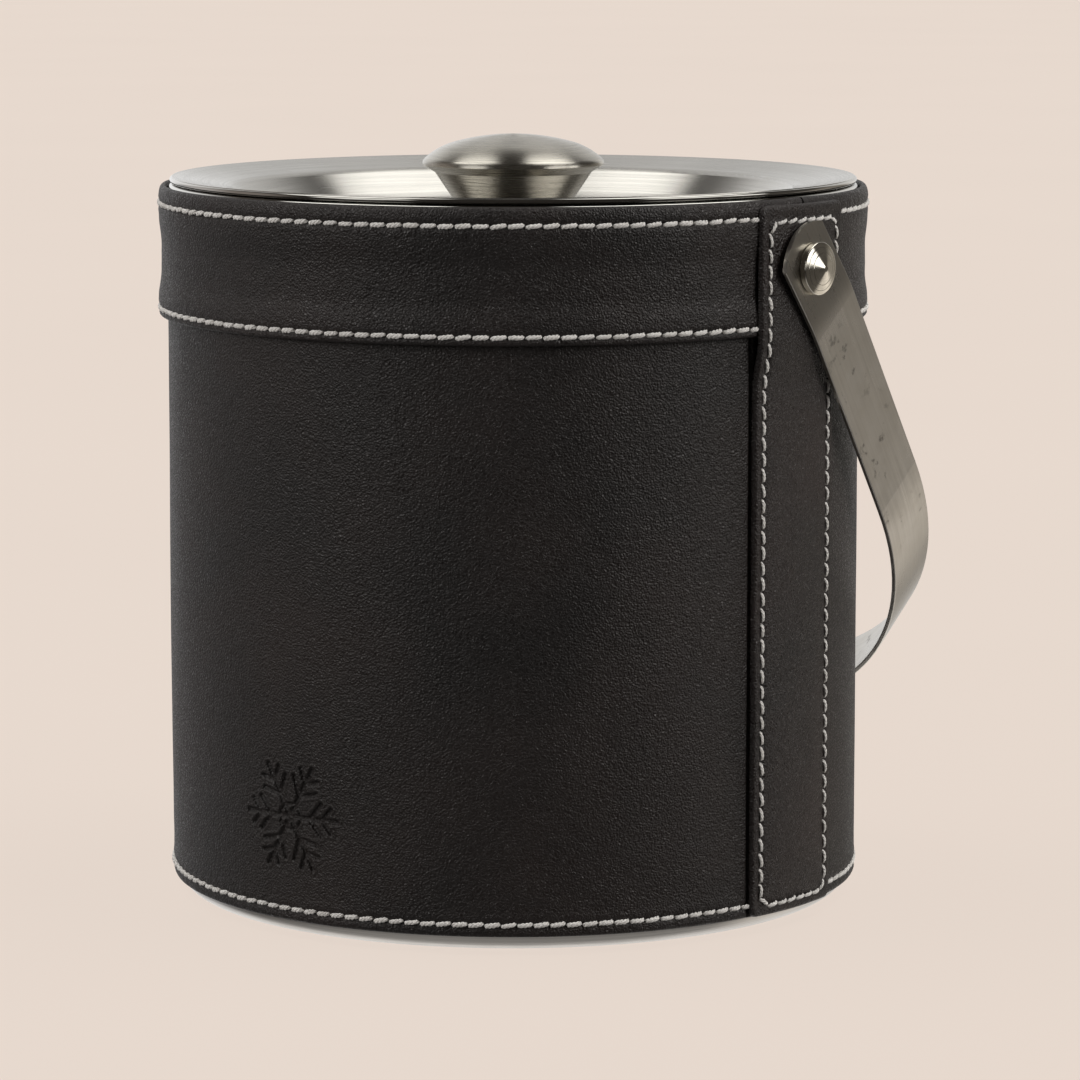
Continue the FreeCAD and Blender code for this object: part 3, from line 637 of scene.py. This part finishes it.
def panel_base(z):
    """Radius of a panel's inner face: on the body below, and eased up over the collar's edge."""
    return PANEL_LOW + (PANEL_HIGH - PANEL_LOW) * smoothstep(COLLAR_Z0 - 13.0, COLLAR_Z0 - 0.4, z)


def seam_path():
    """The panel's seam as a closed loop of (across, z) needle holes, evenly spaced round a rounded box."""
    half_w = math.radians(PANEL_SEAM_DEG) * PANEL_OUT
    corner = 2.0
    low, high, wide = PANEL_SEAM_Z[0] + corner, PANEL_SEAM_Z[1] - corner, half_w - corner
    outline = []
    for cx, cz, a0 in ((-wide, low, math.pi), (wide, low, 1.5 * math.pi),
                       (wide, high, 0.0), (-wide, high, 0.5 * math.pi)):
        for k in range(7):
            a = a0 + math.pi / 2 * k / 6
            outline.append((cx + corner * math.cos(a), cz + corner * math.sin(a)))
    outline = np.array(outline + [outline[0]])
    steps = np.hypot(*np.diff(outline, axis=0).T)
    total = np.concatenate([[0], np.cumsum(steps)])
    number = round(total[-1] / STITCH_PANEL)
    places = np.linspace(0, total[-1], number, endpoint=False)
    return np.stack([np.interp(places, total, outline[:, axis]) for axis in (0, 1)], -1)


def strap_panel(side):
    """One upright panel, its leather and its closed run of stitches."""
    half_w = PANEL_HALF_DEG * math.pi / 180 * PANEL_OUT
    z0, z1 = COAT_Z0, PANEL_Z1
    cols = np.concatenate([[-half_w], np.linspace(-half_w + 0.25, half_w - 0.25, 68), [half_w]])
    rows = np.concatenate([[z0], np.linspace(z0 + 0.25, z1 - 0.25, 330), [z1]])
    z, x = np.meshgrid(rows, cols, indexing="ij")
    mid = (z0 + z1) / 2
    ax, az = np.abs(x) - (half_w - PANEL_CORNER), np.abs(z - mid) - ((z1 - z0) / 2 - PANEL_CORNER)
    inside = (ax > 0) & (az > 0)
    size, reach = np.hypot(ax, az), np.maximum(ax, az)
    squeeze = np.where(inside & (size > 1e-9), reach / np.maximum(size, 1e-9), 1.0)
    x = np.where(inside, np.sign(x) * (half_w - PANEL_CORNER + ax * squeeze), x)
    z = np.where(inside, mid + np.sign(z - mid) * ((z1 - z0) / 2 - PANEL_CORNER + az * squeeze), z)
    to_side = np.minimum(half_w - np.abs(x), (z1 - z0) / 2 - np.abs(z - mid))
    edge = np.clip(np.where(inside, PANEL_CORNER - reach, to_side), 0, None)
    holes = seam_path()
    flat = np.stack([x.ravel(), z.ravel()], -1)
    relief = np.zeros(len(flat))
    seam_inset = half_w - math.radians(PANEL_SEAM_DEG) * PANEL_OUT
    ring = edge.ravel() - np.where(np.abs(flat[:, 1] - mid) > (z1 - z0) / 2 - 6.5, 3.0, seam_inset)
    near = np.abs(edge.ravel() - 3.0) < 3.5
    relief[near] += -SEAM_DIP * np.exp(-(ring[near] / 0.8) ** 2)
    picked = flat[near]
    nearest = np.full(len(picked), 99.0)
    for hole in holes:
        nearest = np.minimum(nearest, np.hypot(picked[:, 0] - hole[0], picked[:, 1] - hole[1]))
    relief[near] -= HOLE_DIP * np.exp(-(nearest / 0.5) ** 2)
    relief = relief.reshape(x.shape)
    relief += 0.14 * value_noise(x / 17 + 20, z / 26 + side, 9) + 0.06 * value_noise(x / 6, z / 8, 10 + side)
    relief += 0.16 * smoothstep(4.0, 8.0, edge) * (1 - (x / half_w) ** 2)
    rim = np.sqrt(np.clip(1 - (1 - np.clip(edge / 0.75, 0, 1)) ** 2, 0, 1))
    base = panel_base(z)
    top = base + 0.12 + (PANEL_LEATHER - 0.12 - 0.1) * rim + relief * smoothstep(0.2, 1.0, edge)
    theta = x / PANEL_OUT
    if side < 0:
        theta = math.pi + theta
    outer_points = cylinder_points(top, theta, z).reshape(-1, 3)
    inner_points = cylinder_points(base, theta, z).reshape(-1, 3)
    rows_n, cols_n = x.shape
    n = rows_n * cols_n
    quads = np.concatenate([grid_faces(rows_n, cols_n), grid_faces(rows_n, cols_n, first=n, flip=True)])
    border = ([(0, c) for c in range(cols_n)]
              + [(r, cols_n - 1) for r in range(1, rows_n)]
              + [(rows_n - 1, c) for c in range(cols_n - 2, -1, -1)]
              + [(r, 0) for r in range(rows_n - 2, 0, -1)])
    loop = [r * cols_n + c for r, c in border]
    skirt = [[loop[i], loop[i] + n, loop[(i + 1) % len(loop)] + n, loop[(i + 1) % len(loop)]]
             for i in range(len(loop))]
    word = "right" if side > 0 else "left"
    new_piece(f"panel_leather_{word}", np.concatenate([outer_points, inner_points]), quads.tolist() + skirt,
              "bucket", PANEL_HIDE, [f"strap_panel_{word}"])
    points, normals = [], []
    for across, height in holes:
        angle = across / PANEL_OUT + (0 if side > 0 else math.pi)
        points.append(cylinder_points(panel_base(height) + PANEL_LEATHER - 0.1, angle, height))
        normals.append((math.cos(angle), math.sin(angle), 0.0))
    verts, faces = stitch_mesh(points, normals, closed=True, radius=0.46, slants=(0.3, 0.5), seed=90 + side)
    new_piece(f"panel_stitches_{word}", verts, faces, "bucket", THREAD,
              [f"strap_panel_thread_{word}"])


for half in (-1, 1):
    wrap_half(half)
    collar_half(half)
    strap_panel(half)
seam_ring("collar_top_stitches", COLLAR_R, COLLAR_SEAM_TOP, STITCH_COLLAR, ["collar_top_thread"], 11)
seam_ring("collar_foot_stitches", COLLAR_R, COLLAR_SEAM_LOW, STITCH_COLLAR, ["collar_foot_thread"], 12)
seam_ring("body_hem_stitches", BODY_R, BODY_SEAM_Z, STITCH_BODY, ["body_hem_thread"], 13)


# ---- stage, lights and camera -----------------------------------------------------------------------
BACKDROP = (0.8308, 0.7230, 0.6445)
CAMERA_AZ = math.radians(38.5)
CAMERA_FAR = 1.195
CAMERA_UP = 0.2592
CAMERA_PITCH = math.radians(8.14)
CAMERA_YAW = math.radians(0.325)
FOCAL_SHARE = 4.351852    # focal length over the image's width
AMBIENT = (0.036, 0.032, 0.029)
SOFT_BOX_FAR = 1.5
SOFT_BOX_AIM = (0, 0, 0.11)
FLOOR_DROP = 0.0002       # keeps the floor just clear of the foot


def stage_floor():
    """A pale floor that only the camera sees, mostly self-lit so that it stays as pale as the backdrop."""
    mesh = bpy.data.meshes.new("floor")
    far = 30
    mesh.from_pydata([(-far, -far, 0), (far, -far, 0), (far, far, 0), (-far, far, 0)], [], [(0, 1, 2, 3)])
    floor = bpy.data.objects.new("floor", mesh)
    bpy.context.scene.collection.objects.link(floor)
    floor.location.z = -FLOOR_DROP
    n = Nodes("floor_paint")
    share = 0.1
    grit = n.noise(place(n), 3.0, 2.0)
    colour = n.mix(n.remap(grit, 0.3, 0.7, 0.0, 1.0), (*(c * 0.99 for c in BACKDROP), 1), (*BACKDROP, 1))
    n.set(Base_Color=(*(c * share for c in BACKDROP), 1), Roughness=0.9, Specular_IOR_Level=0.0,
          Emission_Color=colour, Emission_Strength=1 - share)
    mesh.materials.append(n.mat)
    floor.visible_glossy = False
    floor.visible_diffuse = False
    floor.visible_shadow = False


def area(name, azimuth, elevation, size, power, colour):
    """A soft box. Azimuth is counted from the camera's side, positive to its right."""
    light = bpy.data.lights.new(name, "AREA")
    light.shape = "RECTANGLE"
    light.size, light.size_y = size
    light.energy = power
    light.color = colour
    obj = bpy.data.objects.new(name, light)
    bpy.context.scene.collection.objects.link(obj)
    back = Vector(toward(azimuth, elevation))
    obj.location = Vector(SOFT_BOX_AIM) + back * SOFT_BOX_FAR
    obj.rotation_mode = "QUATERNION"
    obj.rotation_quaternion = back.to_track_quat("Z", "Y")
    return obj


def light_only(light, objects):
    """Lets a soft box fall on these objects alone."""
    lit = bpy.data.collections.new(light.name + "_lights")
    for obj in objects:
        lit.objects.link(obj)
    light.light_linking.receiver_collection = lit


def toward(azimuth, elevation):
    """A direction from the object. Azimuth is counted from the camera's side, positive to its right."""
    a, e = CAMERA_AZ + math.radians(azimuth), math.radians(elevation)
    return math.sin(a) * math.cos(e), -math.cos(a) * math.cos(e), math.sin(e)


SKY = [
    # azimuth, elevation, half width where full, half width where gone, radiance, colour
    (180, 20, 30, 44, 0.66, (1.0, 0.995, 0.985)),
    (100, 62, 17, 23, 2.3, (1.0, 0.99, 0.965)),
    (-101, 62, 15, 20, 2.35, (1.0, 0.99, 0.965)),
    (60, 14, 12, 18, 1.6, (1.0, 0.985, 0.96)),
    (83, 8, 7, 11, 2.2, (1.0, 0.99, 0.97)),
    (-52, 14, 15, 21, 1.45, (1.0, 0.99, 0.975)),
    (180, -44, 22, 36, 0.95, (1.0, 0.98, 0.955)),
    (-146, -2, 16, 42, 0.34, (0.96, 0.98, 1.03)),
    (-112, 4, 16, 40, 0.26, (1.0, 0.89, 0.82)),
    (142, -5, 12, 30, 0.2, (1.0, 0.92, 0.8)),
    (122, -30, 12, 26, 0.7, (1.0, 0.93, 0.85)),
    (106, -8, 16, 44, 0.05, (1.0, 0.93, 0.82)),
    (0, -90, 36, 60, 0.30, (1.0, 0.97, 0.94)),
]


def make_world():
    """A dim room with a bright backdrop and soft boxes. The camera itself sees only the backdrop's colour."""
    world = bpy.data.worlds.new("studio")
    bpy.context.scene.world = world
    world.use_nodes = True
    tree = world.node_tree
    direction = tree.nodes.new("ShaderNodeTexCoord").outputs["Generated"]
    total = None
    for azimuth, elevation, full, gone, radiance, colour in SKY:
        dot = tree.nodes.new("ShaderNodeVectorMath")
        dot.operation = "DOT_PRODUCT"
        tree.links.new(direction, dot.inputs[0])
        dot.inputs[1].default_value = toward(azimuth, elevation)
        fade = tree.nodes.new("ShaderNodeMapRange")
        fade.interpolation_type = "SMOOTHSTEP"
        tree.links.new(dot.outputs["Value"], fade.inputs[0])
        fade.inputs[1].default_value = math.cos(math.radians(gone))
        fade.inputs[2].default_value = math.cos(math.radians(full))
        tint = tree.nodes.new("ShaderNodeVectorMath")
        tint.operation = "SCALE"
        tint.inputs[0].default_value = tuple(c * radiance for c in colour)
        tree.links.new(fade.outputs[0], tint.inputs[3])
        add = tree.nodes.new("ShaderNodeVectorMath")
        tree.links.new(tint.outputs[0], add.inputs[0])
        if total is None:
            add.inputs[1].default_value = AMBIENT
        else:
            tree.links.new(total, add.inputs[1])
        total = add.outputs[0]
    room = tree.nodes["Background"]
    tree.links.new(total, room.inputs[0])
    plain = tree.nodes.new("ShaderNodeBackground")
    plain.inputs[0].default_value = (*BACKDROP, 1)
    seen = tree.nodes.new("ShaderNodeLightPath").outputs["Is Camera Ray"]
    pick = tree.nodes.new("ShaderNodeMixShader")
    tree.links.new(seen, pick.inputs[0])
    tree.links.new(room.outputs[0], pick.inputs[1])
    tree.links.new(plain.outputs[0], pick.inputs[2])
    tree.links.new(pick.outputs[0], tree.nodes["World Output"].inputs[0])


def make_camera():
    data = bpy.data.cameras.new("camera")
    data.sensor_width = 36.0
    data.lens = FOCAL_SHARE * 36.0
    data.clip_start, data.clip_end = 0.05, 100
    camera = bpy.data.objects.new("camera", data)
    bpy.context.scene.collection.objects.link(camera)
    away = Vector((math.sin(CAMERA_AZ), -math.cos(CAMERA_AZ), 0))
    right = Vector((math.cos(CAMERA_AZ), math.sin(CAMERA_AZ), 0))
    camera.location = away * CAMERA_FAR + Vector((0, 0, CAMERA_UP))
    ahead = -away * math.cos(CAMERA_YAW) + right * math.sin(CAMERA_YAW)
    look = ahead * math.cos(CAMERA_PITCH) - Vector((0, 0, math.sin(CAMERA_PITCH)))
    camera.rotation_mode = "QUATERNION"
    camera.rotation_quaternion = look.to_track_quat("-Z", "Y")
    bpy.context.scene.camera = camera


stage_floor()
make_world()
for box in (area("soft_left", -62, 30, (0.7, 0.8), 6.5, (1, 0.99, 0.985)),
            area("soft_right", 67, 30, (0.6, 0.8), 7.5, (1, 0.985, 0.97))):
    light_only(box, SOFT_GOODS)
make_camera()
bpy.context.scene.view_settings.view_transform = "Standard"

bpy.context.view_layer.update()
